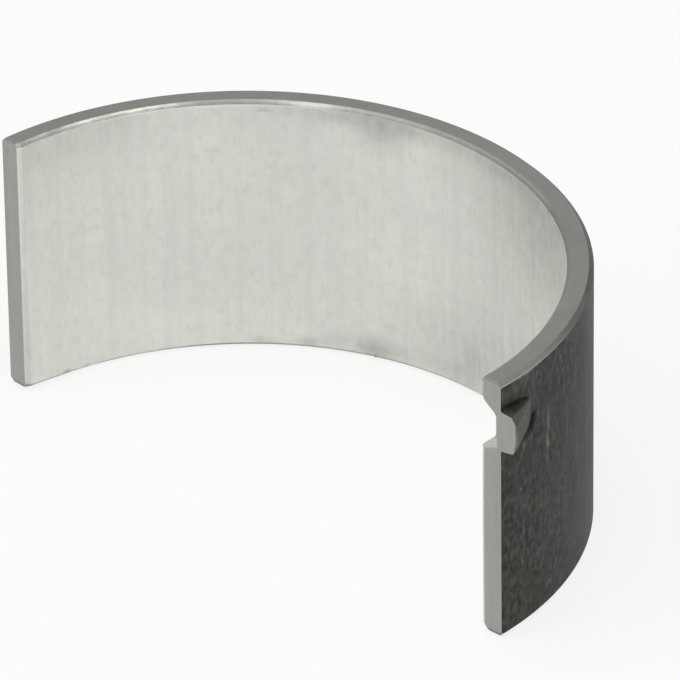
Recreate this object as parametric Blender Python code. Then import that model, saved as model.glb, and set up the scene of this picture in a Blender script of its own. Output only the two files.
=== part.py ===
"""Engine bearing shell: the nib side half of a split plain bearing for a connecting rod.

A flat strip of steel with its bonded lining is pressed to a half round, faced to
width, chamfered, and bored on the inside. A locating nib is pressed outwards at one
end, which leaves a matching recess in the bore.

Metres, +Z up. The shell stands on its lower side face with the bearing axis upright.
Its joint faces look towards -Y and its nib is at +X. The origin lies on the lower
side face's plane, in the middle of the shell's bounding box.
"""
import math

import bmesh
import bpy
from mathutils import Vector

# Bearing sizes
HOUSING_BORE = 0.0540    # bore of the rod and cap that the shell is pressed into
WALL = 0.00208           # steel and lining together
WIDTH = 0.0227           # along the bearing axis
FREE_SPREAD = 0.00115    # how much wider than the housing bore the free shell is

# Edges
BORE_CHAMFER = 0.00031   # side face to bore
BACK_CHAMFER = 0.00037   # side face to back
JOINT_CHAMFER = 0.00035  # joint face to bore and to both side faces

# Nib: a tongue on the back that ramps from the joint face down to the back
NIB_HEIGHT = 0.0015      # above the back, at the joint face
NIB_WIDTH = 0.0033
NIB_LENGTH = 0.0042
NIB_CENTRE = 0.01855     # middle of the nib and of its recess above the lower side face
NIB_END_STEP = 0.00010   # height of the ramp's far end above the back
NIB_LOWER_CORNER = 0.0016
NIB_UPPER_CORNER = 0.0009
NIB_CREST_RADIUS = 0.0005

# Recess: the hollow that pressing the nib leaves in the bore
RECESS_DEPTH = 0.0016    # below the bore, at the joint face
RECESS_WIDTH = 0.0036    # halfway down
RECESS_LENGTH = 0.0046
RECESS_DRAFT = 0.0006    # each flank closes in by this from the mouth to the floor
RECESS_CORNER = 0.0014
RECESS_FLOOR_RADIUS = 0.0004

# Surface resolution
ARC_STEPS = 96
CORNER_STEPS = 5
EDGE_STEPS = 3
SHARP_ANGLE = math.radians(25)

TOOL_OVERLAP = 0.0008      # how far a tool solid reaches past what it joins or cuts
SAME_PLACE = 1e-6          # points nearer than this count as one


def free_form():
    """Outer radius of the free shell, and the angle by which each end stops short of 180 degrees.

    The back keeps the length of the housing's half circle, and the shell opens until it
    is FREE_SPREAD wider than the bore.
    """
    housing_radius = HOUSING_BORE / 2
    short = 0.0
    radius = housing_radius
    for _ in range(30):
        radius = (housing_radius + FREE_SPREAD / 2) / math.cos(short)
        short = math.pi / 2 * (1 - housing_radius / radius)
    return radius, short


BACK_RADIUS, END_ANGLE = free_form()
BORE_RADIUS = BACK_RADIUS - WALL
ARC_ANGLE = math.pi - 2 * END_ANGLE


def clear_scene():
    for obj in list(bpy.data.objects):
        bpy.data.objects.remove(obj, do_unlink=True)


def steel_material():
    material = bpy.data.materials.new("bearing_steel")
    material.use_nodes = True
    shader = material.node_tree.nodes["Principled BSDF"]
    shader.inputs["Base Color"].default_value = (0.42, 0.42, 0.40, 1.0)
    shader.inputs["Metallic"].default_value = 0.85
    shader.inputs["Roughness"].default_value = 0.42
    return material


def finish_mesh(bm, name):
    """Turn a bmesh into a named object with its faces pointing out and its arcs shaded smooth."""
    bmesh.ops.recalc_face_normals(bm, faces=bm.faces)
    mesh = bpy.data.meshes.new(name)
    bm.to_mesh(mesh)
    bm.free()
    mesh.shade_smooth()
    mesh.set_sharp_from_angle(angle=SHARP_ANGLE)
    obj = bpy.data.objects.new(name, mesh)
    bpy.context.collection.objects.link(obj)
    return obj


def section_points():
    """The strip's section as (radius, height), with a chamfer on each of its four edges."""
    return [
        (BORE_RADIUS, BORE_CHAMFER),
        (BORE_RADIUS + BORE_CHAMFER, 0.0),
        (BACK_RADIUS - BACK_CHAMFER, 0.0),
        (BACK_RADIUS, BACK_CHAMFER),
        (BACK_RADIUS, WIDTH - BACK_CHAMFER),
        (BACK_RADIUS - BACK_CHAMFER, WIDTH),
        (BORE_RADIUS + BORE_CHAMFER, WIDTH),
        (BORE_RADIUS, WIDTH - BORE_CHAMFER),
    ]


def formed_strip():
    """The half round, from the nib end's joint plane (y = 0 here) round to the plain end."""
    bm = bmesh.new()
    ring = [bm.verts.new((radius, 0.0, height)) for radius, height in section_points()]
    section = bm.faces.new(ring)
    bmesh.ops.spin(
        bm, geom=[section, *section.edges, *section.verts], cent=(0, 0, 0), axis=(0, 0, 1),
        angle=ARC_ANGLE, steps=ARC_STEPS, use_duplicate=False)
    chamfer_joints(bm)
    return finish_mesh(bm, "bearing_shell")


def chamfer_joints(bm):
    """Break each joint face's edges, apart from the upright one where it meets the back."""
    edges = []
    for angle in (0.0, ARC_ANGLE):
        outwards = Vector((math.cos(angle), math.sin(angle)))
        back_line = BACK_RADIUS * outwards

        def on_joint(vert):
            along = vert.co.xy.dot(outwards)
            return along > 0 and (vert.co.xy - along * outwards).length < SAME_PLACE

        def on_back_line(vert):
            return (vert.co.xy - back_line).length < SAME_PLACE

        edges += [
            edge for edge in bm.edges
            if all(on_joint(v) for v in edge.verts) and not all(on_back_line(v) for v in edge.verts)
        ]
    bmesh.ops.bevel(
        bm, geom=edges, offset=JOINT_CHAMFER, offset_type="OFFSET", affect="EDGES",
        segments=2, profile=0.5, clamp_overlap=True)


def tongue_outline(start, length, width, lower_corner, upper_corner):
    """Outline as (y, z): square at the start, and rounded at its far end, about z = 0."""
    half = width / 2
    lower = min(lower_corner, half)
    upper = min(upper_corner, half)
    points = [(start, -half)]
    for step in range(CORNER_STEPS + 1):
        turn = math.pi / 2 * step / CORNER_STEPS
        points.append((length - lower + lower * math.sin(turn), -half + lower - lower * math.cos(turn)))
    for step in range(CORNER_STEPS + 1):
        turn = math.pi / 2 * step / CORNER_STEPS
        points.append((length - upper + upper * math.cos(turn), half - upper + upper * math.sin(turn)))
    points.append((start, half))
    kept = [points[0]]
    for point in points[1:]:
        if math.dist(point, kept[-1]) > SAME_PLACE:
            kept.append(point)
    return kept


def tongue(name, outline, base_x, top_x, draft, top_radius):
    """A tongue that stands on the plane x = base_x, with its top at top_x(y) and a rounded rim."""
    bm = bmesh.new()
    base = bm.faces.new([bm.verts.new((base_x, y, z)) for y, z in outline])
    raised = bmesh.ops.extrude_face_region(bm, geom=[base])
    top_verts = [item for item in raised["geom"] if isinstance(item, bmesh.types.BMVert)]
    top_face = next(item for item in raised["geom"] if isinstance(item, bmesh.types.BMFace))
    start = outline[0][0]
    half = abs(outline[0][1])
    for vert in top_verts:
        vert.co.x = top_x(vert.co.y)
        vert.co.z *= 1 - draft / half
    bmesh.ops.recalc_face_normals(bm, faces=bm.faces)
    rim = [
        edge for edge in top_face.edges
        if not all(abs(v.co.y - start) < SAME_PLACE for v in edge.verts)
    ]
    bmesh.ops.bevel(
        bm, geom=rim, offset=top_radius, offset_type="OFFSET", affect="EDGES",
        segments=EDGE_STEPS, profile=0.5, clamp_overlap=True)
    for vert in bm.verts:
        if abs(vert.co.y - start) < SAME_PLACE:
            vert.co.y = start
    obj = finish_mesh(bm, name)
    obj.hide_render = True
    obj.display_type = "WIRE"
    return obj


def ramp(start_x, end_x, length):
    """Straight slope in x over y, from start_x at the joint plane to end_x at the tongue's end."""
    return lambda y: start_x + (end_x - start_x) * y / length


def nib_tongue():
    """The nib as a solid of its own, flush with the joint face and sunk into the wall."""
    outline = tongue_outline(0.0, NIB_LENGTH, NIB_WIDTH, NIB_LOWER_CORNER, NIB_UPPER_CORNER)
    end_x = math.sqrt(BACK_RADIUS**2 - NIB_LENGTH**2) + NIB_END_STEP
    top = ramp(BACK_RADIUS + NIB_HEIGHT, end_x, NIB_LENGTH)
    root_x = end_x - TOOL_OVERLAP
    return tongue("nib_tongue", outline, root_x, top, 0.0, NIB_CREST_RADIUS)


def recess_cutter():
    """The recess as a solid that starts in the open bore and ends at the recess floor."""
    mouth_width = RECESS_WIDTH + RECESS_DRAFT
    outline = tongue_outline(-TOOL_OVERLAP, RECESS_LENGTH, mouth_width, RECESS_CORNER, RECESS_CORNER)
    end_x = math.sqrt(BORE_RADIUS**2 - RECESS_LENGTH**2)
    floor = ramp(BORE_RADIUS + RECESS_DEPTH, end_x, RECESS_LENGTH)
    mouth_x = end_x - TOOL_OVERLAP
    return tongue("recess_cutter", outline, mouth_x, floor, RECESS_DRAFT, RECESS_FLOOR_RADIUS)


def shape_with(shell, tool, operation):
    """Join or cut the shell with a tool solid that shares its frame."""
    tool.parent = shell
    tool.location.z = NIB_CENTRE
    boolean = shell.modifiers.new(tool.name, "BOOLEAN")
    boolean.operation = operation
    boolean.solver = "EXACT"
    boolean.object = tool


def place(shell):
    """Turn the shell so that both ends stop short alike, and centre its bounding box on the origin."""
    joint_x = math.cos(END_ANGLE)
    joint_y = math.sin(END_ANGLE)
    nib_tip_x = (BACK_RADIUS + NIB_HEIGHT) * joint_x
    plain_end_x = -BACK_RADIUS * joint_x
    lowest_y = (BORE_RADIUS + JOINT_CHAMFER) * joint_y
    shell.rotation_euler.z = END_ANGLE
    shell.location.x = -(nib_tip_x + plain_end_x) / 2
    shell.location.y = -(BACK_RADIUS + lowest_y) / 2


def main():
    clear_scene()
    shell = formed_strip()
    shell.data.materials.append(steel_material())
    shape_with(shell, nib_tongue(), "UNION")
    shape_with(shell, recess_cutter(), "DIFFERENCE")
    place(shell)


main()
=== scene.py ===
# %% [markdown]
# # A half bearing shell for a connecting rod
# The real part is a strip of steel with a thin bearing metal bonded to one side. A press
# bends it to a half round, and cutters then face its sides, chamfer its edges and broach
# its bore and its joint faces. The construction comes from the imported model, which is
# loaded first. This script gives it a finer surface and the finish of each face.

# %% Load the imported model
import math

import bmesh
import bpy
from mathutils import Matrix, Vector, noise


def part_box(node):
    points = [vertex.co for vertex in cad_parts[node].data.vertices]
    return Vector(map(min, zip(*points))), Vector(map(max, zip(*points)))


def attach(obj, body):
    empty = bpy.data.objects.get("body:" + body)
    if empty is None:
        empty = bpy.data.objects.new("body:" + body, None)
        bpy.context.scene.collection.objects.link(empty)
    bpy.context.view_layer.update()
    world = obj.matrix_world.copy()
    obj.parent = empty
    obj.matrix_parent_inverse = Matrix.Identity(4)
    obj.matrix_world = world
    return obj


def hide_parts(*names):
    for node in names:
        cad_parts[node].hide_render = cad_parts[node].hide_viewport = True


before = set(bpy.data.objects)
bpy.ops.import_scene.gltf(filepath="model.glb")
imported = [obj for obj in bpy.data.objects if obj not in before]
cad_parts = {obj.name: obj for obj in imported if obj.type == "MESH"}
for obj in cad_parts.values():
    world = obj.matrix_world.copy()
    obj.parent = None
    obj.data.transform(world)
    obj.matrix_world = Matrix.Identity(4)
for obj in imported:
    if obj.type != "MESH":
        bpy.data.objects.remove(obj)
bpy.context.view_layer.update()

# %% [markdown]
# ## Sizes
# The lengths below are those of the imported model, in metres. The free shell is a little
# wider than a half circle's diameter, because it springs open when it isn't fitted, so
# each end stops a small angle short. The bearing axis follows from the model's box.

# %% Sizes of the shell
MM = 0.001
HOUSING_BORE = 54.0 * MM
WALL = 2.08 * MM
WIDTH = 22.7 * MM
FREE_SPREAD = 1.15 * MM
BORE_CHAMFER = 0.31 * MM
BACK_CHAMFER = 0.37 * MM
JOINT_CHAMFER = 0.35 * MM
NIB_HEIGHT = 1.5 * MM
NIB_WIDTH = 3.3 * MM
NIB_LENGTH = 4.2 * MM
NIB_CENTRE = 18.55 * MM
NIB_END_STEP = 0.1 * MM
RECESS_DEPTH = 1.6 * MM
RECESS_WIDTH = 3.6 * MM
RECESS_LENGTH = 4.6 * MM
RECESS_DRAFT = 0.6 * MM

end_angle = 0.0
back_radius = HOUSING_BORE / 2
for _ in range(30):
    back_radius = (HOUSING_BORE + FREE_SPREAD) / 2 / math.cos(end_angle)
    end_angle = math.pi / 2 * (1 - HOUSING_BORE / 2 / back_radius)
bore_radius = back_radius - WALL
arc_angle = math.pi - 2 * end_angle

node_low, node_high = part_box("bearing_shell")
axis_point = Vector((
    node_low[0] + back_radius * math.cos(end_angle), node_high[1] - back_radius, node_low[2]))
print("bearing axis at", [round(1000 * value, 3) for value in axis_point], "mm")

# %% [markdown]
# ## Camera
# A product photo of a small part is taken from well back with a long lens, which keeps
# its verticals nearly parallel. The camera looks at the shell from its front right and
# from above. A fit to the photo's edges gives the angles and the distance.

# %% Camera
CAMERA_AZIMUTH = math.radians(45.6)
CAMERA_ELEVATION = math.radians(30.65)
CAMERA_ROLL = math.radians(-0.83)
CAMERA_DISTANCE = 683.1 * MM
AIM_ACROSS = 7.71 * MM
AIM_UP = 13.48 * MM
FOCAL_PIXELS = 8700
PHOTO_PIXELS = 680
SENSOR = 36.0


def add_object(name, data):
    made = bpy.data.objects.new(name, data)
    bpy.context.collection.objects.link(made)
    return made


def add_camera():
    back = Vector((
        math.sin(CAMERA_AZIMUTH) * math.cos(CAMERA_ELEVATION),
        -math.cos(CAMERA_AZIMUTH) * math.cos(CAMERA_ELEVATION),
        math.sin(CAMERA_ELEVATION)))
    level = Vector((math.cos(CAMERA_AZIMUTH), math.sin(CAMERA_AZIMUTH), 0.0))
    turn = Matrix.Rotation(CAMERA_ROLL, 3, back)
    right = turn @ level
    up = back.cross(right)
    data = bpy.data.cameras.new("product_camera")
    data.sensor_width = SENSOR
    data.lens = FOCAL_PIXELS / PHOTO_PIXELS * SENSOR
    data.clip_start = 0.01
    data.clip_end = 50.0
    camera = add_object("product_camera", data)
    place = Matrix((right, up, back)).transposed().to_4x4()
    place.translation = axis_point + AIM_ACROSS * right + AIM_UP * up + CAMERA_DISTANCE * back
    camera.matrix_world = place
    bpy.context.scene.camera = camera
    print("camera lens", round(data.lens), "mm")


add_camera()

# %% [markdown]
# ## The strip's section
# The shell is one section carried round an arc, so a spin is the natural way to model it.
# The section starts as twelve points: a chamfer at each corner, and two more points on
# the bore and on the back, near each side, where the mesh has to be finer. A bevel on
# its vertices breaks the corners, and its long edges are then divided.

# %% Section of the strip
EDGE_BREAK = 0.04 * MM
FINE_BAND = 1.0 * MM
FINE_STEP = 0.14 * MM
COARSE_STEP = 0.38 * MM


def section_corners():
    """Corner points as (radius, height), round the section."""
    bore_line = [BORE_CHAMFER, BORE_CHAMFER + FINE_BAND,
                 WIDTH - BORE_CHAMFER - FINE_BAND, WIDTH - BORE_CHAMFER]
    back_line = [WIDTH - BACK_CHAMFER, WIDTH - BACK_CHAMFER - FINE_BAND,
                 BACK_CHAMFER + FINE_BAND, BACK_CHAMFER]
    return (
        [(bore_radius, height) for height in bore_line]
        + [(bore_radius + BORE_CHAMFER, WIDTH), (back_radius - BACK_CHAMFER, WIDTH)]
        + [(back_radius, height) for height in back_line]
        + [(back_radius - BACK_CHAMFER, 0.0), (bore_radius + BORE_CHAMFER, 0.0)]
    )


def section_ring(bm):
    """The section as a closed ring of edges in the plane y = 0."""
    verts = [bm.verts.new((radius, 0.0, height)) for radius, height in section_corners()]
    face = bm.faces.new(verts)
    half = WIDTH / 2 - BORE_CHAMFER
    corners = [vert for vert in verts if abs(abs(vert.co.z - WIDTH / 2) - half) < FINE_BAND / 2]
    bmesh.ops.bevel(
        bm, geom=corners, offset=EDGE_BREAK, offset_type="OFFSET", affect="VERTICES",
        segments=2, profile=0.5, material=-1)
    bmesh.ops.delete(bm, geom=bm.faces[:], context="FACES_ONLY")
    for edge in bm.edges[:]:
        middle = abs((edge.verts[0].co.z + edge.verts[1].co.z) / 2 - WIDTH / 2)
        step = COARSE_STEP if middle < WIDTH / 2 - BACK_CHAMFER - FINE_BAND else FINE_STEP
        cuts = round(edge.calc_length() / step) - 1
        if cuts > 0:
            bmesh.ops.subdivide_edges(bm, edges=[edge], cuts=cuts)
    print("section ring of", len(bm.edges), "edges")


# %% [markdown]
# ## The half round
# The ring is spun from the nib end to the plain end. The first and last steps are short,
# because the edges of the joint faces are broken too, and the steps between them are
# about 0.2 mm. The mesh is then divided further round the nib and its recess.

# %% Spin the strip
END_STEPS = [step * MM for step in (0.01, 0.02, 0.03, 0.05, 0.07, 0.09, 0.11, 0.13)]
ARC_STEP = 0.2 * MM
NIB_CUTS = 3
NIB_MARGIN = 1.1 * MM
SKIN = 0.01 * MM  # points this near a face's radius count as lying on it


def spin_strip(bm):
    """Spin the ring round the bearing axis, with short steps at both joint faces."""
    end_run = sum(END_STEPS)
    middle = arc_angle * back_radius - 2 * end_run
    runs = [(step, 1) for step in END_STEPS]
    runs += [(middle, round(middle / ARC_STEP))]
    runs += [(step, 1) for step in reversed(END_STEPS)]
    moving = bm.verts[:] + bm.edges[:]
    for length, steps in runs:
        swept = bmesh.ops.spin(
            bm, geom=moving, cent=(0, 0, 0), axis=(0, 0, 1), angle=length / back_radius,
            steps=steps, use_duplicate=False)
        moving = swept["geom_last"]
    print("spun strip has", len(bm.faces), "faces")


def refine_near_nib(bm):
    """Divide the mesh on both sides of the wall round the nib."""
    reach = max(NIB_LENGTH, RECESS_LENGTH) + NIB_MARGIN
    half = RECESS_WIDTH / 2 + NIB_MARGIN

    def near(vert):
        radius = vert.co.xy.length
        on_skin = radius > back_radius - SKIN or radius < bore_radius + SKIN
        return on_skin and vert.co.x > 0 and vert.co.y < reach and abs(vert.co.z - NIB_CENTRE) < half

    edges = [edge for edge in bm.edges if near(edge.verts[0]) and near(edge.verts[1])]
    bmesh.ops.subdivide_edges(bm, edges=edges, cuts=NIB_CUTS, use_grid_fill=True)
    print("refined strip has", len(bm.faces), "faces")


# %% [markdown]
# ## Heights over the strip
# What the press and the cutters leave can be written as a height over the strip's
# unrolled surface, so each vertex moves in or out by a short formula. The helpers give
# smooth steps, and the distance from the outline of a tongue.

# %% Helpers for heights
def smooth_step(value):
    value = min(max(value, 0.0), 1.0)
    return value * value * (3 - 2 * value)


def hump(distance, reach):
    """1 at distance 0, falling smoothly to 0 at reach."""
    return smooth_step(1 - abs(distance) / reach)


def smooth_min(a, b, blend):
    share = min(max(0.5 + 0.5 * (b - a) / blend, 0.0), 1.0)
    return b + (a - b) * share - blend * share * (1 - share)


def read_off(rows, position):
    """Value between rows of (position, value), with the ends held."""
    if position <= rows[0][0]:
        return rows[0][1]
    for (p0, v0), (p1, v1) in zip(rows, rows[1:]):
        if position <= p1:
            return v0 + (v1 - v0) * smooth_step((position - p0) / (p1 - p0))
    return rows[-1][1]


def tongue_distance(y, height, length, lower, upper, lower_corner, upper_corner):
    """Distance outside a tongue's outline, which starts at the joint face; negative inside."""
    middle = (lower + upper) / 2
    corner = upper_corner if height > middle else lower_corner
    across = abs(height - middle) - (upper - lower) / 2 + corner
    along = y - length + corner
    outside = math.hypot(max(across, 0.0), max(along, 0.0))
    return outside + min(max(across, along), 0.0) - corner


def mm_noise(x, y, z=0.0):
    """Smooth noise about 0, for positions in millimetres."""
    return noise.noise(Vector((x, y, z)))


# %% [markdown]
# ## Nib
# A punch shears the strip at the joint face and pushes a tongue outwards, which keys the
# shell in its housing. Its upper side is sheared, with a groove at its foot, and the
# rest is drawn down to the back. Its sides slope between two outlines, foot and top.

# %% Nib on the back
NIB_TOP = NIB_CENTRE + NIB_WIDTH / 2
NIB_BOTTOM = NIB_CENTRE - NIB_WIDTH / 2
NIB_CREST = [
    (NIB_BOTTOM, 0.78 * NIB_HEIGHT), (NIB_BOTTOM + 0.45 * MM, 0.91 * NIB_HEIGHT),
    (NIB_BOTTOM + 1.1 * MM, 0.98 * NIB_HEIGHT), (NIB_TOP - 0.6 * MM, 1.0 * NIB_HEIGHT),
    (NIB_TOP, 0.76 * NIB_HEIGHT),
]
NIB_RUN = [
    (NIB_BOTTOM + 1.2 * MM, 0.83 * NIB_LENGTH), (NIB_TOP - 0.7 * MM, 0.86 * NIB_LENGTH),
    (NIB_TOP, 0.76 * NIB_LENGTH),
]
SHEAR_LEAN = 0.1 * MM
LOWER_FOOT = 0.08 * MM
DRAWN_LEAN = 0.22 * MM
DRAWN_SPREAD = 0.42
GROOVE_DEPTH = 0.14 * MM
SHEAR_GROOVE = 0.30 * MM
END_GROOVE = 0.46 * MM
SHEAR_LINE = [
    # distance from the joint face and height over the nib's upper side, in mm
    (0.0, 0.24), (0.5, 0.23), (1.1, 0.14), (1.7, 0.08), (2.3, 0.03), (3.1, -0.12), (3.6, -0.22),
]


def nib_ramp(y, z):
    """Height of the nib's ramp over the back, before its sides are cut."""
    crest = read_off(NIB_CREST, z)
    run = read_off(NIB_RUN, z)
    step = NIB_END_STEP * smooth_step((NIB_BOTTOM + 2.1 * MM - z) / (0.5 * MM))
    straight = crest + (step - crest) * y / run + max(run - y, 0.0) * y / (3.0 * back_radius)
    wavy = 0.025 * MM * mm_noise(y / MM * 1.3, z / MM * 1.1, 3.0)
    return -smooth_min(-(straight + wavy), 0.0, 0.06 * MM)


def nib_outlines(y, z):
    """Distances from the foot of the nib and from the top edge of its sides."""
    upper_top = NIB_TOP - 0.14 * max(y - 1.0 * MM, 0.0)
    foot = tongue_distance(
        y, z, 0.94 * NIB_LENGTH, NIB_BOTTOM - LOWER_FOOT, upper_top + SHEAR_LEAN, 1.5 * MM, 0.5 * MM)
    lower_top = NIB_BOTTOM - LOWER_FOOT + DRAWN_LEAN + DRAWN_SPREAD * y
    top = tongue_distance(y, z, 0.87 * NIB_LENGTH, lower_top, upper_top, 1.3 * MM, 0.4 * MM)
    return foot, top


def shear_groove(y, z, reach):
    """1 in the groove along the sheared upper side, which fades where the side ends."""
    line = NIB_TOP + MM * read_off(SHEAR_LINE, y / MM) + 0.03 * MM * mm_noise(y / MM * 2.5, 7.0)
    return hump(z - line, reach) * smooth_step((3.5 * MM - y) / (0.5 * MM))


def end_groove(y, z, foot, reach):
    """1 in the groove round the nib's far end and lower corner."""
    fade = smooth_step((NIB_BOTTOM + 1.95 * MM - z) / (0.8 * MM))
    fade *= smooth_step((y - 1.7 * MM) / (1.5 * MM))
    return hump(foot, reach * (0.6 + 0.4 * smooth_step((y - 2.6 * MM) / (0.9 * MM)))) * fade


def nib_rise(y, z):
    """Height of the pressed nib and its grooves over the back."""
    foot, top = nib_outlines(y, z)
    groove = shear_groove(y, z, SHEAR_GROOVE) * smooth_step((y - 0.1 * MM) / (0.6 * MM))
    groove = max(groove, end_groove(y, z, foot, END_GROOVE))
    rim = 0.02 * MM * hump(foot - 0.5 * MM, 0.3 * MM) * smooth_step((y - 1.5 * MM) / MM)
    if foot >= 0:
        return rim - GROOVE_DEPTH * groove
    share = min(max(-foot / max(top - foot, 0.02 * MM), 0.0), 1.0)
    ramp = nib_ramp(y, z)
    blend = min(0.12 * MM, 0.3 * ramp)
    if z < NIB_TOP - 0.5 * MM:
        blend = min(0.25 * MM, 0.5 * ramp)
    side = share * ramp * 1.25
    rise = smooth_min(side, ramp, max(blend, 0.001 * MM)) if ramp > 0 else 0.0
    return max(rise, 0.0) - GROOVE_DEPTH * groove * (1 - share)


print("nib stands", round(nib_rise(0.0, NIB_CENTRE) / MM, 2), "mm high")

# %% [markdown]
# ## Recess
# The metal of the nib leaves a hollow in the bore. Its mouth is drawn in above, and its
# floor runs out to the bore. A smooth minimum of flank and floor rounds their corner.

# %% Recess in the bore
RECESS_CORNER = 1.5 * MM
RECESS_DRAW = 0.34 * MM
RECESS_DRAW_REACH = 0.9 * MM
RECESS_LOWER_DRAW = 0.06 * MM
RECESS_LOWER_LIFT = 0.17 * MM
RECESS_FLOOR_BLEND = 1.0 * MM
RECESS_UPPER_SLOPE = 1.25
RECESS_LOWER_SLOPE = 1.2


def recess_distance(y, z):
    half = (RECESS_WIDTH + RECESS_DRAFT) / 2
    return tongue_distance(
        y, z, RECESS_LENGTH, NIB_CENTRE - half, NIB_CENTRE + half, RECESS_CORNER, RECESS_CORNER)


def recess_fall(y, z):
    """Depth of the recess under the bore, with its mouth drawn in above."""
    distance = recess_distance(y, z)
    above = z > NIB_CENTRE
    fade = smooth_step(1.4 - y / RECESS_LENGTH)
    draw = (RECESS_DRAW if above else RECESS_LOWER_DRAW) * fade
    drawn = draw * max(1 - (distance + 0.15 * MM) / RECESS_DRAW_REACH, 0.0) ** 2
    if distance >= 0:
        return drawn
    start = bore_radius + RECESS_DEPTH
    end = math.sqrt(bore_radius**2 - RECESS_LENGTH**2)
    floor = start + (end - start) * y / RECESS_LENGTH - math.sqrt(bore_radius**2 - y**2)
    flank = drawn - distance * RECESS_UPPER_SLOPE
    if not above:
        flank = drawn - (distance + RECESS_LOWER_LIFT) * RECESS_LOWER_SLOPE
    return max(smooth_min(flank, max(floor, 0.0), RECESS_FLOOR_BLEND), 0.0)


print("recess is", round(recess_fall(0.0, NIB_CENTRE) / MM, 2), "mm deep")

# %% [markdown]
# ## Edge of the bearing metal
# Bearing metal is soft. The cutter that chamfers the bore smears it in places and leaves
# small tags. Noise along the arc moves its edge by a few hundredths of a millimetre, and
# a table says where it is smeared.

# %% Ragged edge of the bearing metal
LIP_HEIGHT = 0.03 * MM
LIP_WANDER = 0.035 * MM
SMEARED = [
    # place along the arc in mm, amount
    (41.0, 0.0), (44.0, 0.22), (50.0, 0.26), (51.5, 0.48), (54.8, 0.50), (56.5, 0.28), (60.0, 0.21),
    (62.5, 0.21), (65.5, 0.82), (72.5, 0.82), (74.5, 0.62), (78.4, 0.45),
]
NICK_ARC = 57.45 * MM
NICK_HALF_LENGTH = 0.75 * MM
NICK_BELOW_EDGE = 0.42 * MM
NICK_DEPTH = 0.07 * MM
BURRS = [
    # place along the arc, half length and size
    (74.5 * MM, 0.45 * MM, 0.22 * MM), (72.6 * MM, 0.5 * MM, 0.08 * MM),
    (48.4 * MM, 0.30 * MM, 0.24 * MM), (50.3 * MM, 0.26 * MM, 0.10 * MM),
]


def smeared(arc):
    """How far the metal is smeared over its edge along the arc, from 0 to 1."""
    return read_off(SMEARED, arc / MM)


def lip(arc, at_top):
    """How far the edge of the bearing metal stands into the bore, and its wander in height."""
    along = arc / MM
    seed = 11.0 if at_top else 47.0
    coarse = mm_noise(along * 0.55, seed)
    fine = mm_noise(along * 2.3, seed + 5.0)
    rough = 0.3 + 0.7 * smeared(arc)
    stand = LIP_HEIGHT * rough * max(0.25 + 0.9 * coarse + 0.8 * fine, 0.0)
    wander = LIP_WANDER * rough * (0.6 * coarse + 0.7 * mm_noise(along * 1.4, seed + 9.0))
    return stand, wander


def burr(arc):
    """Small tags of metal that hang into the bore at its lower edge."""
    return max(size * hump(arc - place, reach) for place, reach, size in BURRS)


# %% [markdown]
# ## Edges of the joint faces
# The edges of the joint faces are broken so that they don't scrape. The short steps at
# both ends of the spin let each edge follow a quarter round, which is wider at the foot.

# %% Rounded edges of the joint faces
UPPER_ROUND = 0.14 * MM
LOWER_ROUND = 0.42 * MM
BORE_ROUND = JOINT_CHAMFER
ROUND_BAND = 0.95 * MM
LOWER_CORNER_CUT = 0.36 * MM
LOWER_CORNER_RUN = 0.9 * MM
LOWER_EASE_CUT = 0.26 * MM
LOWER_EASE_RUN = 5.0 * MM


def rounding(distance, radius):
    """How far an edge's quarter round sets a face back, at a distance behind the joint face."""
    if distance >= radius:
        return 0.0
    return radius - math.sqrt(radius**2 - (radius - distance)**2)


def pushed_in(depth, inset, band):
    """A point at a depth under a face, moved in so that the face itself lies at the inset."""
    return depth if depth >= band else inset + depth * (band - inset) / band


def round_joint_edges(radius, z, end_distance):
    """Round the edges of a joint face to the bore and to both side faces."""
    under_bore = pushed_in(radius - bore_radius, rounding(end_distance, BORE_ROUND), ROUND_BAND)
    if z > WIDTH / 2:
        z = WIDTH - pushed_in(WIDTH - z, rounding(end_distance, UPPER_ROUND), ROUND_BAND)
    else:
        z = pushed_in(z, rounding(end_distance, LOWER_ROUND), ROUND_BAND)
        corner_run = max(1 - end_distance / LOWER_CORNER_RUN, 0.0)
        ease_run = max(1 - end_distance / LOWER_EASE_RUN, 0.0)
        wanted = BORE_CHAMFER + LOWER_CORNER_CUT * corner_run**2 + LOWER_EASE_CUT * ease_run**2
        short = max(wanted - (under_bore + z), 0.0) if ease_run > 0 else 0.0
        under_bore += short / 2
        z += short / 2
    return bore_radius + under_bore, z
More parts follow.
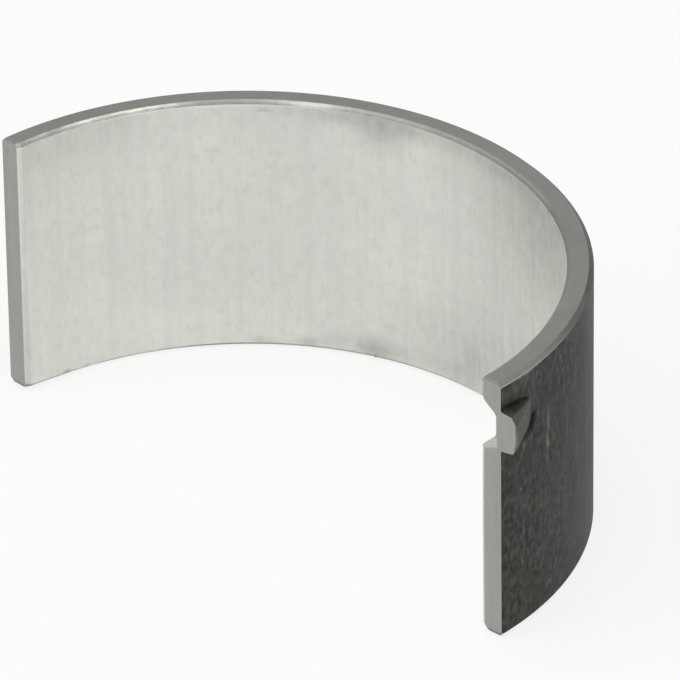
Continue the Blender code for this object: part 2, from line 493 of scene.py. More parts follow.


# %% [markdown]
# ## Marks of handling, and painted shade
# Oil and fingers leave smudges in the bore, and storage scratches the back. Broad ovals on
# the far side of the bore are painted shade and reflection instead. Each mark is a soft oval
# with a place by arc and height, so it can be moved or dropped by itself.
# The marks become vertex attributes, which the finishes read.

# %% Placed marks
OVAL_REACH = 1.6  # where a mark ends, in its half lengths
# The four broad ovals at arc 26, 33, 36 and 38 mm are painted shade and reflection on the far side of
# the bore; the others are smudges.
BORE_SMUDGES_AND_SHADE = [
    # arc, height, half length, half height in mm, strength
    (26.0, 22.0, 12.0, 7.0, 0.50), (36.0, 22.4, 12.0, 1.4, 0.40), (47.5, 22.2, 3.2, 1.5, 0.42),
    (48.0, 20.9, 2.2, 1.6, 0.28), (52.0, 22.0, 2.6, 0.9, 0.32), (57.0, 21.5, 6.0, 2.0, 0.13),
    (72.0, 21.8, 6.0, 2.2, 0.14), (33.0, 6.0, 8.0, 12.0, 0.25), (38.0, 3.0, 9.0, 4.0, 0.22),
    (47.8, 0.9, 2.2, 1.3, 0.30), (48.6, 0.7, 1.3, 0.7, 0.35), (40.0, 1.2, 2.4, 1.4, 0.18),
    (43.5, 1.2, 3.0, 1.0, 0.14), (52.0, 0.9, 1.6, 0.8, 0.16), (54.2, 0.6, 0.9, 0.5, 0.36),
    (57.6, 0.5, 1.1, 0.4, 0.28), (38.8, 3.2, 0.9, 1.2, 0.22),
    (38.0, 3.0, 0.14, 1.3, 0.35), (35.8, 11.8, 0.12, 1.7, 0.24), (44.7, 13.0, 0.5, 4.0, 0.06),
    (57.5, 21.85, 0.62, 0.09, 0.65), (56.6, 18.0, 0.6, 0.25, 0.12), (55.6, 16.6, 0.6, 0.4, 0.09),
    (63.8, 20.6, 0.2, 0.2, 0.14), (78.28, 11.0, 0.2, 18.0, 0.26),
    (78.3, 2.5, 0.5, 5.0, 0.16), (0.0, 21.0, 0.7, 3.0, 0.8), (0.0, 8.0, 0.7, 9.0, 0.5),
    (44.2, 21.9, 1.6, 0.5, 0.17), (56.0, 21.9, 1.4, 0.5, 0.13), (44.5, 20.2, 5.0, 1.8, 0.08),
    (51.0, 16.5, 9.0, 4.0, 0.07), (50.0, 1.5, 2.6, 0.8, 0.15),
]
BORE_LIGHT = [
    (44.6, 17.2, 1.2, 3.4, 0.15), (43.9, 19.0, 0.18, 2.5, 0.16), (45.6, 18.6, 0.15, 2.0, 0.14),
    (34.6, 7.0, 0.4, 4.0, 0.25), (36.9, 12.0, 0.15, 3.0, 0.15), (67.5, 3.0, 4.0, 1.8, 0.22),
    (61.0, 22.28, 3.6, 0.1, 0.5), (53.6, 22.5, 1.9, 0.16, 0.6),
]
BACK_SMUDGES = [
    (4.3, 1.9, 1.2, 1.5, 0.75), (3.0, 4.0, 0.7, 1.6, 0.5), (2.2, 1.2, 1.2, 0.5, 0.4),
    (1.2, 20.6, 0.8, 0.6, 0.4),
]
BACK_SCRATCHES = [
    (1.9, 21.7, 2.2, 0.5, 0.16), (3.0, 22.33, 1.7, 0.2, 0.8), (6.16, 16.6, 0.18, 1.0, 0.50),
    (6.06, 14.7, 0.18, 1.2, 0.60), (5.93, 13.0, 0.15, 0.9, 0.30),
    (2.75, 16.0, 0.12, 0.40, 0.50), (2.45, 15.3, 0.10, 0.45, 0.4), (3.75, 16.35, 0.14, 0.28, 0.45),
    (2.0, 14.7, 0.09, 0.4, 0.3), (3.3, 10.2, 0.12, 0.3, 0.3), (2.7, 8.2, 0.10, 0.5, 0.3),
    (2.5, 5.6, 0.10, 0.5, 0.3), (1.4, 11.9, 0.25, 0.10, 0.3), (4.9, 10.6, 0.25, 0.10, 0.4),
    (3.2, 12.0, 0.10, 0.3, 0.4), (9.5, 14.0, 0.10, 1.4, 0.25), (14.2, 7.5, 0.08, 2.0, 0.25),
    (18.0, 16.0, 0.10, 1.2, 0.25), (31.0, 12.0, 0.10, 2.2, 0.3), (47.0, 6.0, 0.12, 1.5, 0.3),
    (63.0, 15.0, 0.1, 2.0, 0.3),
]


def marked(marks, arc, z):
    """Share covered by the placed marks at a point, each an oval with a soft edge."""
    bare = 1.0
    for at_arc, at_height, half_length, half_height, strength in marks:
        across = (arc / MM - at_arc) / (OVAL_REACH * half_length)
        along = (z / MM - at_height) / (OVAL_REACH * half_height)
        apart = across * across + along * along
        if apart < 1:
            bare *= 1 - strength * (1 - apart) ** 2
    return 1 - bare


print("placed marks:", sum(map(len, (BORE_SMUDGES_AND_SHADE, BORE_LIGHT, BACK_SMUDGES, BACK_SCRATCHES))))

# %% [markdown]
# ## Moving the vertices
# Every vertex still lies on the plain half round, so its radius, angle and height say
# where it is. It moves by the heights above and takes its marks along.

# %% Shape and mark the bore
CHAMFER_BAND = 0.5 * MM
HANGING_HEIGHT = 0.2 * MM
NICK_BAND = 0.3 * MM
# Strength of the painted shade under each burr.
BURR_SHADE = 9.0
WORN_BAND = 0.3 * MM
WORN_FADE = 0.12 * MM


def shape_bore(vert, mark, radius, z, angle, near_bore):
    """Move a point near the bore by lip, burrs and nick, and mark its smudges, painted shade and light
    parts.
    """
    arc = angle * bore_radius
    stand, wander = lip(arc, z > WIDTH / 2)
    edge = WIDTH - BORE_CHAMFER if z > WIDTH / 2 else BORE_CHAMFER
    weight = near_bore * hump(z - edge, CHAMFER_BAND)
    hanging = burr(arc) * near_bore * hump(z - HANGING_HEIGHT, CHAMFER_BAND)
    below_edge = WIDTH - BORE_CHAMFER - z - NICK_BELOW_EDGE
    nick = hump(arc - NICK_ARC, NICK_HALF_LENGTH) * hump(below_edge, NICK_BAND)
    radius += NICK_DEPTH * nick * near_bore - stand * weight - hanging
    # Smudges, the painted shade of the bore's far side, and painted shade under the burrs.
    mark(vert, "smudge", max(marked(BORE_SMUDGES_AND_SHADE, arc, z), min(BURR_SHADE * hanging / MM, 1.0)))
    # The bore's edge at the plain end is made lighter, more so towards the top; it shares the attribute
    # of the light marks.
    at_plain_end = smooth_step((WORN_BAND - (arc_angle - angle) * radius) / WORN_FADE)
    lighter_plain_end = at_plain_end * (0.05 + 0.17 * smooth_step((z - 5 * MM) / (12 * MM)))
    mark(vert, "scratch", max(marked(BORE_LIGHT, arc, z), lighter_plain_end))
    return radius, z + wander * weight


# %% Mark the nib and its recess
TOP_FADE = 0.1 * MM
SIDE_FADE = 0.06 * MM


def mark_nib(vert, mark, y, z):
    """Mark the nib's ramp, its sheared side, a painted highlight on its crest and painted shade in the
    creases round it.
    """
    foot, top = nib_outlines(y, z)
    raised = smooth_step(nib_ramp(y, z) / TOP_FADE)
    on_top = smooth_step(0.5 - top / TOP_FADE)
    mark(vert, "pressed", raised * on_top)
    on_side = smooth_step(0.5 - foot / SIDE_FADE) * smooth_step(0.5 + top / SIDE_FADE)
    on_side *= raised * smooth_step((z - NIB_CENTRE) / (0.5 * MM))
    mark(vert, "sheared", on_side)
    # Painted shade: on the far part of the sheared side, in the groove along that side, and in the
    # groove round the far end.
    shaded = 0.3 * on_side * smooth_step((y - 1.5 * MM) / (0.9 * MM))
    sheared_groove_shade = 0.8 * shear_groove(y, z, 0.88 * SHEAR_GROOVE)
    far_end = 0.3 + 0.85 * smooth_step((y - 3.1 * MM) / (0.8 * MM))
    end_groove_shade = far_end * end_groove(y, z, foot, 1.4 * END_GROOVE)
    mark(vert, "crease", max(min(max(sheared_groove_shade, end_groove_shade), 1.0), shaded))
    # Painted highlight along the crest near the joint face.
    worn = hump(y, 0.8 * MM) * hump(z - NIB_BOTTOM - 1.2 * MM, 1.5 * MM)
    mark(vert, "worn", worn * on_top)


def mark_recess(vert, mark, y, z):
    """Mark the recess, and painted shade in the crease inside its mouth."""
    distance = recess_distance(y, z)
    mark(vert, "pressed", smooth_step(0.5 - distance / (0.2 * MM)))
    # Painted shade in the crease inside the recess mouth.
    mark(vert, "crease", 0.35 * hump(distance + 0.5 * MM, 0.3 * MM))


# %% Move the vertices
NIB_HALF_TURN = math.pi / 4


def shape_vertex(vert, mark):
    """Move a vertex of the plain strip to its place on the finished shell, and mark it."""
    x, y, z = vert.co
    radius = math.hypot(x, y)
    angle = math.atan2(y, x)
    end_distance = max(min(angle, arc_angle - angle) * radius, 0.0)
    on_back = radius > back_radius - SKIN
    near_bore = 1 - smooth_step((radius - bore_radius) / BORE_CHAMFER)

    if near_bore > 0:
        radius, z = shape_bore(vert, mark, radius, z, angle, near_bore)
    if radius < bore_radius + BORE_CHAMFER + SKIN:
        mark(vert, "smeared", smeared(angle * bore_radius))
    if on_back:
        mark(vert, "smudge", marked(BACK_SMUDGES, angle * back_radius, z))
        mark(vert, "scratch", marked(BACK_SCRATCHES, angle * back_radius, z))
    if on_back and angle < NIB_HALF_TURN:
        mark_nib(vert, mark, y, z)
        radius += nib_rise(y, z)
    if near_bore > 0.99 and angle < NIB_HALF_TURN:
        mark_recess(vert, mark, y, z)
        radius += recess_fall(y, z)

    radius, z = round_joint_edges(radius, z, end_distance)
    vert.co = (radius * math.cos(angle), radius * math.sin(angle), z)


# %% [markdown]
# ## Faces and their finishes
# Each face of the section was cut by another tool, so it gets a finish of its own. The
# faces are told apart by their place in the section before any vertex moves. The same
# pass writes a UV map of the unrolled strip in millimetres, so that grain runs along the
# bearing axis on the bore and round the arc on the side faces.

# %% Sort the faces
FINISHES = ["lining", "lining_edge", "faced_side", "back_chamfer", "dark_back", "broached_joint"]
CHAMFERS = {"lining_edge": BORE_CHAMFER, "back_chamfer": BACK_CHAMFER}
PLAIN_END_SHIFT = 30 * MM  # keeps the two joint faces apart on the map


def finish_of(face):
    """The finish for a face, from its middle and its direction in the unmoved section."""
    middle = face.calc_center_median()
    radius = middle.xy.length
    outwards = face.normal.xy.dot(middle.xy) / max(radius, 1e-9)
    upwards = abs(face.normal.z)
    if upwards < 0.3 and abs(outwards) < 0.5:
        return "broached_joint"
    if upwards > 0.92:
        return "faced_side"
    if radius < bore_radius + WALL / 2:
        return "lining" if upwards < 0.3 else "lining_edge"
    return "dark_back" if upwards < 0.3 else "back_chamfer"


def unroll(face, finish, uv_layer):
    """Write the unrolled position of each corner, in millimetres."""
    for loop in face.loops:
        x, y, z = loop.vert.co
        radius = math.hypot(x, y)
        at_back = finish in ("dark_back", "back_chamfer")
        across, along = math.atan2(y, x) * (back_radius if at_back else bore_radius), z
        if finish == "broached_joint":
            across = radius + (0 if x > 0 else PLAIN_END_SHIFT)
        elif finish == "faced_side":
            along = radius
        elif finish in CHAMFERS:
            along = (CHAMFERS[finish] - min(z, WIDTH - z)) * math.sqrt(2)
        loop[uv_layer].uv = (across / MM, along / MM)


# %% Build the shell
SHARP_ANGLE = math.radians(32)
MARKS = ["crease", "pressed", "sheared", "smudge", "scratch", "smeared", "worn"]


def build_shell():
    bm = bmesh.new()
    section_ring(bm)
    spin_strip(bm)
    refine_near_nib(bm)
    bmesh.ops.holes_fill(bm, edges=[edge for edge in bm.edges if edge.is_boundary], sides=0)
    bmesh.ops.recalc_face_normals(bm, faces=bm.faces)
    uv_layer = bm.loops.layers.uv.new("unrolled")
    for face in bm.faces:
        finish = finish_of(face)
        face.material_index = FINISHES.index(finish)
        unroll(face, finish, uv_layer)
    for name in MARKS:
        bm.verts.layers.float.new(name)
    layers = {name: bm.verts.layers.float[name] for name in MARKS}

    def mark(vert, name, value):
        vert[layers[name]] = value

    for vert in bm.verts:
        shape_vertex(vert, mark)
    bmesh.ops.triangulate(bm, faces=[face for face in bm.faces if len(face.verts) > 4])
    bmesh.ops.rotate(bm, verts=bm.verts, cent=(0, 0, 0), matrix=Matrix.Rotation(end_angle, 3, "Z"))
    bmesh.ops.translate(bm, verts=bm.verts, vec=axis_point)
    open_edges = sum(not edge.is_manifold for edge in bm.edges)
    mesh = bpy.data.meshes.new("lined_half_shell")
    bm.to_mesh(mesh)
    bm.free()
    mesh.shade_smooth()
    mesh.set_sharp_from_angle(angle=SHARP_ANGLE)
    shell = add_object("lined_half_shell", mesh)
    triangles = sum(len(face.vertices) - 2 for face in mesh.polygons)
    print("shell has", triangles, "triangles and", open_edges, "open edges")
    return shell


shell = build_shell()

# %% [markdown]
# ## Effects that several finishes share
# Broaching and rolling leave grain that runs one way, handling leaves cloudy tone, and
# storage leaves specks. Each effect is a node group that gives a mask, so a finish can
# place it with its own scale and strength. The groups take the unrolled UV position.

# %% Node helpers
def set_inputs(node, values):
    for name, value in values.items():
        node.inputs[name].default_value = value


def new_group(name, inputs, outputs):
    group = bpy.data.node_groups.new(name, "ShaderNodeTree")
    for socket, kind, value in inputs:
        made = group.interface.new_socket(name=socket, in_out="INPUT", socket_type=kind)
        if value is not None:
            made.default_value = value
    for socket in outputs:
        group.interface.new_socket(name=socket, in_out="OUTPUT", socket_type="NodeSocketFloat")
    return group, group.nodes.new("NodeGroupInput"), group.nodes.new("NodeGroupOutput")


def math_node(tree, operation, first, second):
    node = tree.nodes.new("ShaderNodeMath")
    node.operation = operation
    for socket, value in zip(node.inputs, (first, second)):
        if isinstance(value, (int, float)):
            socket.default_value = value
        else:
            tree.links.new(value, socket)
    return node.outputs[0]


def remap(tree, value, low, high, to_low=0.0, to_high=1.0):
    node = tree.nodes.new("ShaderNodeMapRange")
    node.clamp = True
    tree.links.new(value, node.inputs["Value"])
    set_inputs(node, {"From Min": low, "From Max": high, "To Min": to_low, "To Max": to_high})
    return node.outputs["Result"]


def noise_node(tree, vector, scale, detail=2.0, roughness=0.5, distortion=0.0):
    node = tree.nodes.new("ShaderNodeTexNoise")
    tree.links.new(vector, node.inputs["Vector"])
    set_inputs(node, {
        "Scale": scale, "Detail": detail, "Roughness": roughness, "Distortion": distortion})
    return node.outputs["Fac"]


# %% Grain group
def make_grain_group():
    """Grain that runs along V: fine lines, and wider bands that come and go."""
    group, ins, outs = new_group(
        "directional grain",
        [("Vector", "NodeSocketVector", None), ("Lines per mm", "NodeSocketFloat", 4.0),
         ("Run", "NodeSocketFloat", 0.04)],
        ["Lines", "Bands"])
    split = group.nodes.new("ShaderNodeSeparateXYZ")
    group.links.new(ins.outputs["Vector"], split.inputs[0])
    across = math_node(group, "MULTIPLY", split.outputs["X"], ins.outputs["Lines per mm"])
    run = math_node(group, "MULTIPLY", ins.outputs["Lines per mm"], ins.outputs["Run"])
    along = math_node(group, "MULTIPLY", split.outputs["Y"], run)
    for name, shrink, detail in (("Lines", 1.0, 3.0), ("Bands", 0.22, 2.0)):
        joined = group.nodes.new("ShaderNodeCombineXYZ")
        group.links.new(math_node(group, "MULTIPLY", across, shrink), joined.inputs["X"])
        group.links.new(math_node(group, "MULTIPLY", along, shrink), joined.inputs["Y"])
        group.links.new(noise_node(group, joined.outputs[0], 1.0, detail, 0.6), outs.inputs[name])
    return group


# %% Tone group
def make_tone_group():
    """Cloudy tone in two sizes, as handling and oil leave it."""
    group, ins, outs = new_group(
        "cloudy tone", [("Vector", "NodeSocketVector", None)], ["Broad", "Small"])
    group.links.new(noise_node(group, ins.outputs["Vector"], 0.16, 3.0, 0.55, 0.6), outs.inputs["Broad"])
    group.links.new(noise_node(group, ins.outputs["Vector"], 0.8, 4.0, 0.6, 0.3), outs.inputs["Small"])
    return group


# %% Speck group
def make_speck_group():
    """Small round specks, some of the cells of a Voronoi pattern, each of its own size."""
    group, ins, outs = new_group(
        "specks",
        [("Vector", "NodeSocketVector", None), ("Share", "NodeSocketFloat", 0.3),
         ("Size", "NodeSocketFloat", 0.3)],
        ["Specks"])
    cells = group.nodes.new("ShaderNodeTexVoronoi")
    group.links.new(ins.outputs["Vector"], cells.inputs["Vector"])
    cells.inputs["Scale"].default_value = 1.7
    pick = group.nodes.new("ShaderNodeSeparateColor")
    group.links.new(cells.outputs["Color"], pick.inputs["Color"])
    chosen = math_node(group, "LESS_THAN", pick.outputs["Red"], ins.outputs["Share"])
    size = math_node(group, "MULTIPLY", pick.outputs["Green"], ins.outputs["Size"])
    near = math_node(group, "SUBTRACT", size, cells.outputs["Distance"])
    soft = remap(group, near, 0.0, 0.08)
    group.links.new(math_node(group, "MULTIPLY", chosen, soft), outs.inputs["Specks"])
    return group


GRAIN = make_grain_group()
TONE = make_tone_group()
SPECKS = make_speck_group()
print("node groups:", ", ".join(group.name for group in (GRAIN, TONE, SPECKS)))

# %% [markdown]
# ## Finish of each face
# A finish starts from one colour and one roughness, and the masks above vary both. Fine
# grain also goes into a Bump node, whose distance is a few micrometres. A small class
# keeps the node building short.

# %% Finish builder
MICRON = 1e-6


class Finish:
    """A Principled BSDF whose colour and roughness are built up from masks."""

    def __init__(self, name, colour, metallic, roughness):
        self.material = bpy.data.materials.new(name)
        self.material.use_nodes = True
        self.tree = self.material.node_tree
        self.shader = self.tree.nodes["Principled BSDF"]
        self.shader.inputs["Metallic"].default_value = metallic
        uv = self.tree.nodes.new("ShaderNodeUVMap")
        uv.uv_map = "unrolled"
        self.position = uv.outputs["UV"]
        split = self.tree.nodes.new("ShaderNodeSeparateXYZ")
        self.tree.links.new(self.position, split.inputs[0])
        self.across = split.outputs["X"]
        self.along = split.outputs["Y"]
        base = self.tree.nodes.new("ShaderNodeRGB")
        base.outputs[0].default_value = (*colour, 1.0)
        self.colour = base.outputs[0]
        self.roughness = roughness
        self.roughness_parts = []
        self.heights = []

    def group(self, group, vector=None, **values):
        node = self.tree.nodes.new("ShaderNodeGroup")
        node.node_tree = group
        self.tree.links.new(vector or self.position, node.inputs["Vector"])
        set_inputs(node, {name.replace("_", " "): value for name, value in values.items()})
        return node.outputs

    def shifted(self, offset, scale):
        node = self.tree.nodes.new("ShaderNodeMapping")
        self.tree.links.new(self.position, node.inputs["Vector"])
        set_inputs(node, {"Location": offset, "Scale": scale})
        return node.outputs["Vector"]

    def attribute(self, name):
        node = self.tree.nodes.new("ShaderNodeAttribute")
        node.attribute_name = name
        return node.outputs["Fac"]

    def noise(self, scale, detail=2.0, offset=0.0):
        """Noise with a scale of its own across and along the strip."""
        place = self.shifted((offset, offset, 0.0), (*scale, 1.0))
        return noise_node(self.tree, place, 1.0, detail, 0.55)

    def times(self, first, second):
        return math_node(self.tree, "MULTIPLY", first, second)

    def plus(self, first, second):
        return math_node(self.tree, "ADD", first, second)

    def remap(self, value, low, high, to_low=0.0, to_high=1.0):
        return remap(self.tree, value, low, high, to_low, to_high)

    def tint(self, mask, colour, strength=1.0):
        """Blend a colour in where the mask is high."""
        node = self.tree.nodes.new("ShaderNodeMix")
        node.data_type = "RGBA"
        node.clamp_factor = True
        if strength != 1.0:
            mask = self.times(mask, strength)
        self.tree.links.new(mask, node.inputs["Factor"])
        self.tree.links.new(self.colour, node.inputs["A"])
        node.inputs["B"].default_value = (*colour, 1.0)
        self.colour = node.outputs["Result"]

    def roughen(self, mask, amount):
        self.roughness_parts.append(self.times(mask, amount))

    def raise_by(self, mask, amount):
        self.heights.append(self.times(mask, amount))

    def total(self, parts, start=0.0):
        value = start
        for part in parts:
            value = self.plus(part, value)
        return value

    def finish(self, bump_distance=0.0):
        self.tree.links.new(self.colour, self.shader.inputs["Base Color"])
        rough = self.total(self.roughness_parts, self.roughness)
        self.tree.links.new(rough, self.shader.inputs["Roughness"])
        if self.heights:
            bump = self.tree.nodes.new("ShaderNodeBump")
            bump.inputs["Distance"].default_value = bump_distance
            self.tree.links.new(self.total(self.heights), bump.inputs["Height"])
            self.tree.links.new(bump.outputs["Normal"], self.shader.inputs["Normal"])
        return self.material


# %% [markdown]
# ## Bearing metal
# The bore is a pale satin alloy with fine lines along the axis. Clouds of warmer and
# cooler grey lie over one base colour, then grain, then the placed smudges and painted
# shade, which noise breaks up so that no oval shows. The crease in the recess mouth gets
# painted shade too.

# %% Bearing metal in the bore
def lining_finish():
    made = Finish("lining", (0.72, 0.725, 0.665), 0.65, 0.40)
    grain = made.group(GRAIN, Lines_per_mm=4.0, Run=0.035)
    tone = made.group(TONE)
    made.tint(made.remap(tone["Broad"], 0.38, 0.62), (0.68, 0.707, 0.656), 0.8)
    made.tint(made.remap(tone["Small"], 0.42, 0.7), (0.775, 0.768, 0.705), 0.6)
    made.tint(made.remap(made.noise((1.5, 0.8), 3.0, 5.0), 0.5, 0.68), (0.63, 0.64, 0.59), 0.6)
    made.tint(made.remap(grain["Bands"], 0.48, 0.7), (0.64, 0.66, 0.625), 0.55)
    made.tint(made.remap(grain["Lines"], 0.55, 0.8), (0.81, 0.81, 0.76), 0.4)
    scratch = made.remap(made.noise((0.12, 7.0), 2.0, 3.0), 0.62, 0.74)
    made.tint(scratch, (0.62, 0.62, 0.57), 0.3)
    uneven = made.remap(made.noise((1.1, 0.7), 3.0, 13.0), 0.3, 0.7, 0.78, 1.16)
    # Smudges, and painted shade on the far side of the bore and under the burrs.
    made.tint(made.times(made.attribute("smudge"), uneven), (0.22, 0.24, 0.235), 0.85)
    made.tint(made.attribute("scratch"), (0.86, 0.87, 0.82), 0.8)
    made.tint(made.attribute("pressed"), (0.50, 0.505, 0.47), 0.75)
    # Painted shade in the crease inside the recess mouth.
    made.tint(made.attribute("crease"), (0.30, 0.30, 0.27), 0.6)
    made.roughen(grain["Bands"], 0.08)
    made.roughen(made.attribute("smudge"), 0.15)
    made.raise_by(grain["Lines"], 0.3)
    made.raise_by(tone["Small"], 0.4)
    return made.finish(8 * MICRON)


# %% [markdown]
# ## Cut edge of the bearing metal
# The chamfer of the bore cuts through the bearing metal into the steel. Where the metal
# is smeared, a bright crown runs along it, and elsewhere it is dull. A mask across the
# chamfer times one along the arc places each of these.

# %% Cut edge of the bearing metal
CHAMFER_SPAN = BORE_CHAMFER / MM * math.sqrt(2)


def lining_edge_finish():
    made = Finish("lining_edge", (0.31, 0.31, 0.29), 0.6, 0.36)
    amount = made.attribute("smeared")
    wander = made.remap(made.noise((1.3, 0.0), 2.0, 2.0), 0.3, 0.7, -0.06, 0.06)
    height = made.plus(made.along, wander)
    presence = made.noise((0.45, 0.0), 2.0, 21.0)
    spots = made.noise((2.4, 5.0), 2.0, 9.0)
    warm = made.noise((0.45, 0.4), 1.0, 31.0)
    below = made.remap(height, 0.38 * CHAMFER_SPAN, 0.60 * CHAMFER_SPAN)
    above = made.remap(height, 1.04 * CHAMFER_SPAN, 0.82 * CHAMFER_SPAN)
    crown = made.times(below, above)
    bright = made.remap(made.plus(presence, amount), 1.0, 1.5)
    made.tint(bright, (0.50, 0.50, 0.46), 0.9)
    made.tint(made.remap(spots, 0.55, 0.64), (0.15, 0.135, 0.115), 0.55)
    made.tint(crown, (0.38, 0.38, 0.355), 0.9)
    made.tint(made.times(crown, bright), (0.86, 0.85, 0.77), 1.0)
    made.tint(made.remap(warm, 0.56, 0.68), (0.62, 0.48, 0.42), 0.15)
    made.tint(made.remap(warm, 0.43, 0.32), (0.60, 0.55, 0.36), 0.3)
    plain = made.times(made.remap(amount, 0.3, 0.0), made.remap(made.across, 2.5, 7.0))
    made.tint(plain, (0.19, 0.19, 0.178), 1.0)
    brighter = made.times(plain, made.remap(made.across, 26.5, 29.5))
    made.tint(brighter, (0.222, 0.222, 0.208), 1.0)
    made.tint(made.times(brighter, crown), (0.30, 0.30, 0.28), 0.85)
    seam = made.remap(height, 0.05 * CHAMFER_SPAN, 0.3 * CHAMFER_SPAN, 1.0, 0.0)
    seam = made.times(seam, made.remap(made.across, 31.0, 26.0))
    made.tint(made.times(plain, seam), (0.12, 0.12, 0.11), 0.9)
    # Smudges and painted shade darken the cut edge a little.
    made.tint(made.attribute("smudge"), (0.10, 0.10, 0.09), 0.18)
    made.tint(made.attribute("scratch"), (0.80, 0.79, 0.72), 0.8)
    made.roughen(spots, 0.1)
    made.raise_by(spots, 0.6)
    return made.finish(20 * MICRON)


# %% [markdown]
# ## Side faces
# A facing cutter leaves fine rings round the bearing axis. Noise stretched along the arc
# gives them, in colour and in height.

# %% Side faces
def faced_side_finish():
    made = Finish("faced_side", (0.198, 0.198, 0.187), 0.8, 0.42)
    rings = made.noise((0.35, 5.0), 3.0)
    tone = made.group(TONE)
    made.tint(made.remap(rings, 0.45, 0.8), (0.235, 0.235, 0.225), 0.6)
    made.tint(made.remap(tone["Broad"], 0.45, 0.65), (0.178, 0.178, 0.168), 0.6)
    made.tint(made.remap(tone["Small"], 0.55, 0.75), (0.225, 0.22, 0.215), 0.6)
    made.roughen(rings, 0.08)
    made.raise_by(rings, 0.5)
    return made.finish(8 * MICRON)


# %% [markdown]
# ## Chamfer of the back
# The chamfer is pale near the nib and is painted darker further round, as shade from the
# second shell, which is left out. The change follows the arc, made uneven by cloudy noise.
# A painted highlight runs along its edge to the back, near the nib.

# %% Chamfer of the back
def back_chamfer_finish():
    made = Finish("back_chamfer", (0.21, 0.21, 0.198), 0.7, 0.45)
    tone = made.group(TONE)
    uneven = made.remap(tone["Broad"], 0.3, 0.7, -0.12, 0.12)
    # Painted shade: the chamfer darkens further round the arc.
    far_shade = made.plus(made.remap(made.across, 4.0, 17.0), uneven)
    made.tint(far_shade, (0.058, 0.057, 0.05), 1.0)
    made.tint(made.remap(tone["Small"], 0.45, 0.7), (0.15, 0.15, 0.14), 0.3)
    # Painted highlight along the chamfer's edge to the back, near the nib.
    line = made.remap(made.along, 0.14, 0.06)
    made.tint(made.times(line, made.remap(made.across, 12.0, 3.0)), (0.36, 0.36, 0.345), 0.75)
    made.roughen(tone["Small"], 0.1)
    return made.finish()


# %% [markdown]
# ## Back of the strip
# The steel back has a dark, oiled skin with mottling, upright streaks and specks, and its
# base colour is darker still, as painted shade of the second shell, which is left out. Near
# the nib, where the shell was handled, the mottling is stronger. The ramp is paler, its
# sheared side is brown, a painted highlight runs along its crest, and the creases round it
# are painted black as shade.

# %% Back of the steel strip
def dark_back_finish():
    # Base colour darkened as painted shade of the second shell, which is left out.
    made = Finish("dark_back", (0.031, 0.032, 0.028), 0.3, 0.50)
    made.shader.inputs["Specular IOR Level"].default_value = 0.25
    grain = made.group(GRAIN, Lines_per_mm=2.6, Run=0.12)
    tone = made.group(TONE)
    specks = made.group(SPECKS, made.shifted((0, 0, 0), (1.3, 0.8, 1.0)), Share=0.30, Size=0.30)
    mottle = made.noise((2.1, 1.2), 3.0, 4.0)
    patches = made.noise((0.7, 0.4), 2.0, 17.0)
    made.tint(made.remap(tone["Broad"], 0.45, 0.62), (0.023, 0.022, 0.018), 0.8)
    made.tint(made.remap(tone["Broad"], 0.45, 0.34), (0.040, 0.039, 0.048), 0.8)
    made.tint(made.remap(patches, 0.5, 0.66), (0.047, 0.048, 0.042), 0.8)
    handled = made.remap(made.across, 20.0, 6.0, 0.0, 0.45)
    cloudy = made.plus(made.remap(made.noise((0.2, 0.13), 3.0, 23.0), 0.42, 0.62, 0.2, 0.9), handled)
    made.tint(made.times(made.remap(mottle, 0.5, 0.64), cloudy), (0.068, 0.070, 0.062), 0.8)
    made.tint(made.times(made.remap(mottle, 0.47, 0.36), cloudy), (0.009, 0.009, 0.007), 0.8)
    rubbed = made.times(made.remap(made.noise((0.55, 0.07), 3.0, 41.0), 0.5, 0.68),
                        made.remap(made.across, 9.0, 18.0))
    made.tint(rubbed, (0.058, 0.059, 0.054), 0.6)
    made.tint(made.remap(grain["Bands"], 0.54, 0.70), (0.064, 0.066, 0.064), 0.5)
    made.tint(made.times(specks["Specks"], made.remap(patches, 0.35, 0.6)), (0.16, 0.16, 0.14), 0.6)
    made.tint(made.attribute("smudge"), (0.036, 0.028, 0.016), 0.9)
    streak = made.times(made.attribute("scratch"), made.remap(mottle, 0.35, 0.6, 0.4, 1.0))
    made.tint(streak, (0.25, 0.255, 0.22), 0.9)
    ramp = made.remap(mottle, 0.35, 0.65, 0.7, 0.95)
    made.tint(made.times(made.attribute("pressed"), ramp), (0.080, 0.081, 0.072), 1.0)
    # Painted highlight along the nib's crest.
    made.tint(made.attribute("worn"), (0.26, 0.235, 0.195), 0.7)
    flank = made.remap(patches, 0.42, 0.58, 0.5, 1.0)
    made.tint(made.times(made.attribute("sheared"), flank), (0.070, 0.061, 0.048), 1.0)
    # Painted shade in the nib's grooves and on the far part of its sheared side.
    made.tint(made.attribute("crease"), (0.006, 0.005, 0.004), 0.97)
    made.roughen(mottle, 0.2)
    made.roughen(made.attribute("crease"), 0.3)
    made.raise_by(grain["Lines"], 0.5)
    made.raise_by(mottle, 0.6)
    return made.finish(14 * MICRON)


# %% [markdown]
# ## Joint faces
# Broaching leaves a flat face with fine upright lines. A small worn facet lies beside the
# recess. Object coordinates place it, because the unrolled map doesn't follow the
# outline of the recess.

# %% Joint faces
FACET_FROM = axis_point.x + bore_radius
FACET_TO = FACET_FROM + 1.6 * MM
FACET_FOOT = NIB_CENTRE - 2.33 * MM
FACET_RISE = 0.67 * MM
FACET_TOP = NIB_CENTRE - 0.6 * MM
FACET_FADE = 0.2 * MM


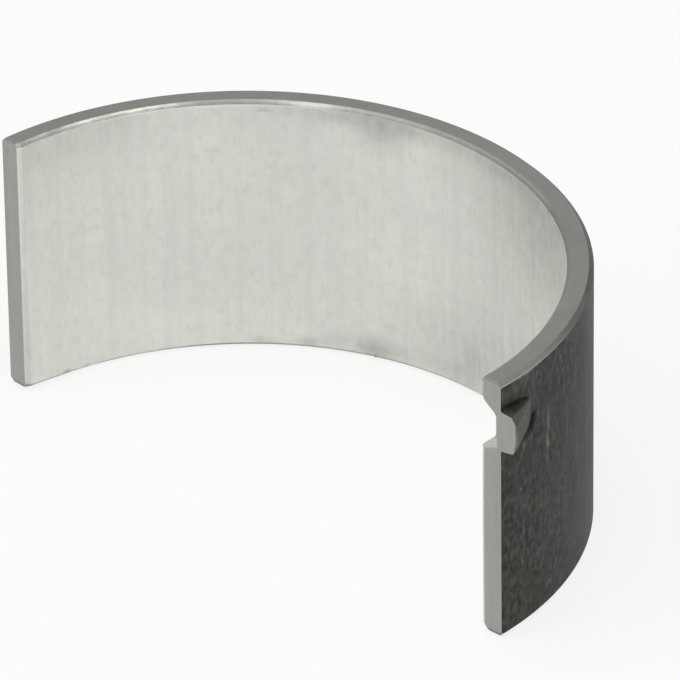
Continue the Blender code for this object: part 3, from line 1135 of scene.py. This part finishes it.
def facet_mask(made):
    """1 on the worn facet: over its sloping foot, under its top, and not far out."""
    place = made.tree.nodes.new("ShaderNodeSeparateXYZ")
    coordinates = made.tree.nodes.new("ShaderNodeTexCoord")
    made.tree.links.new(coordinates.outputs["Object"], place.inputs[0])
    out, up = place.outputs["X"], place.outputs["Z"]
    foot = made.plus(up, made.remap(out, FACET_FROM, FACET_TO, 0.0, -FACET_RISE))
    facet = made.times(made.remap(foot, FACET_FOOT, FACET_FOOT + 0.9 * FACET_FADE),
                       made.remap(up, FACET_TOP, FACET_TOP - FACET_FADE))
    facet = made.times(facet, made.remap(out, FACET_TO + FACET_FADE / 2, FACET_TO))
    return made.times(facet, made.remap(out, 0.0, FACET_FROM))


def broached_joint_finish():
    made = Finish("broached_joint", (0.345, 0.35, 0.325), 0.75, 0.42)
    grain = made.group(GRAIN, Lines_per_mm=6.0, Run=0.03)
    tone = made.group(TONE)
    made.tint(made.remap(grain["Bands"], 0.4, 0.7), (0.30, 0.305, 0.285), 0.6)
    made.tint(made.remap(tone["Small"], 0.5, 0.75), (0.38, 0.382, 0.36), 0.4)
    made.tint(facet_mask(made), (0.54, 0.545, 0.505), 0.8)
    made.roughen(grain["Lines"], 0.1)
    made.raise_by(grain["Lines"], 0.5)
    return made.finish(8 * MICRON)


# %% Give the shell its finishes
MAKERS = [
    lining_finish, lining_edge_finish, faced_side_finish, back_chamfer_finish, dark_back_finish,
    broached_joint_finish,
]
for make_finish in MAKERS:
    shell.data.materials.append(make_finish())
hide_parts("bearing_shell")
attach(shell, "root")
print("finishes:", ", ".join(slot.name for slot in shell.data.materials))

# %% [markdown]
# ## Floor and light
# The shell stands in a white product tent. The floor is a pale sheet that also glows a
# little for the camera, so that it reads as white and still shows the soft shadow at the
# shell's foot. Large soft lamps light the shell from above and from the front.

# %% Floor
FLOOR_HALF = 1.5
FLOOR_GAP = 0.02 * MM
FLOOR_GLOW = 0.8


def seen_not_lit(tree):
    """1 for camera, mirror and see-through rays, 0 for the rays that light things."""
    path = tree.nodes.new("ShaderNodeLightPath")
    first = math_node(tree, "MAXIMUM", path.outputs["Is Camera Ray"], path.outputs["Is Glossy Ray"])
    return math_node(tree, "MAXIMUM", first, path.outputs["Is Transmission Ray"])


def add_floor():
    bm = bmesh.new()
    bmesh.ops.create_grid(bm, x_segments=1, y_segments=1, size=FLOOR_HALF)
    bmesh.ops.translate(bm, verts=bm.verts, vec=(0, 0, node_low[2] - FLOOR_GAP))
    mesh = bpy.data.meshes.new("pale_floor")
    bm.to_mesh(mesh)
    bm.free()
    floor = add_object("pale_floor", mesh)
    material = bpy.data.materials.new("pale_floor")
    material.use_nodes = True
    tree = material.node_tree
    sheet = tree.nodes["Principled BSDF"]
    set_inputs(sheet, {"Base Color": (0.9, 0.9, 0.9, 1.0), "Roughness": 0.9, "Specular IOR Level": 0.0})
    glow = tree.nodes.new("ShaderNodeEmission")
    glow.inputs["Strength"].default_value = 1.0
    blend = tree.nodes.new("ShaderNodeMixShader")
    share = math_node(tree, "MULTIPLY", seen_not_lit(tree), FLOOR_GLOW)
    tree.links.new(share, blend.inputs["Fac"])
    tree.links.new(sheet.outputs["BSDF"], blend.inputs[1])
    tree.links.new(glow.outputs["Emission"], blend.inputs[2])
    tree.links.new(blend.outputs["Shader"], tree.nodes["Material Output"].inputs["Surface"])
    mesh.materials.append(material)
    print("floor", 2 * FLOOR_HALF, "m wide")


add_floor()

# %% World
AMBIENT = 0.55


def set_world():
    world = bpy.data.worlds.new("white_tent")
    world.use_nodes = True
    tree = world.node_tree
    background = tree.nodes["Background"]
    background.inputs["Color"].default_value = (1.0, 1.0, 1.0, 1.0)
    seen = seen_not_lit(tree)
    tree.links.new(remap(tree, seen, 0.0, 1.0, AMBIENT, 1.0), background.inputs["Strength"])
    bpy.context.scene.world = world
    print("world lights with", AMBIENT)


set_world()


# %% Lamps
def add_lamp(name, place, size, power):
    data = bpy.data.lights.new(name, "AREA")
    data.shape = "SQUARE"
    data.size = size
    data.energy = power
    lamp = add_object(name, data)
    lamp.location = place
    lamp.rotation_euler = (-Vector(place)).to_track_quat("-Z", "Y").to_euler()


add_lamp("soft_top", (-0.1, -0.1, 0.9), 0.9, 3.2)
add_lamp("soft_front", (-0.35, -0.85, 0.5), 0.7, 1.9)
add_lamp("soft_right", (0.9, -0.25, 0.35), 0.6, 1.7)
print("lamps:", len(bpy.data.lights))

# %% [markdown]
# ## View transform
# The scene renders with the Standard view transform.

# %% Finish
scene = bpy.context.scene
scene.view_settings.view_transform = "Standard"
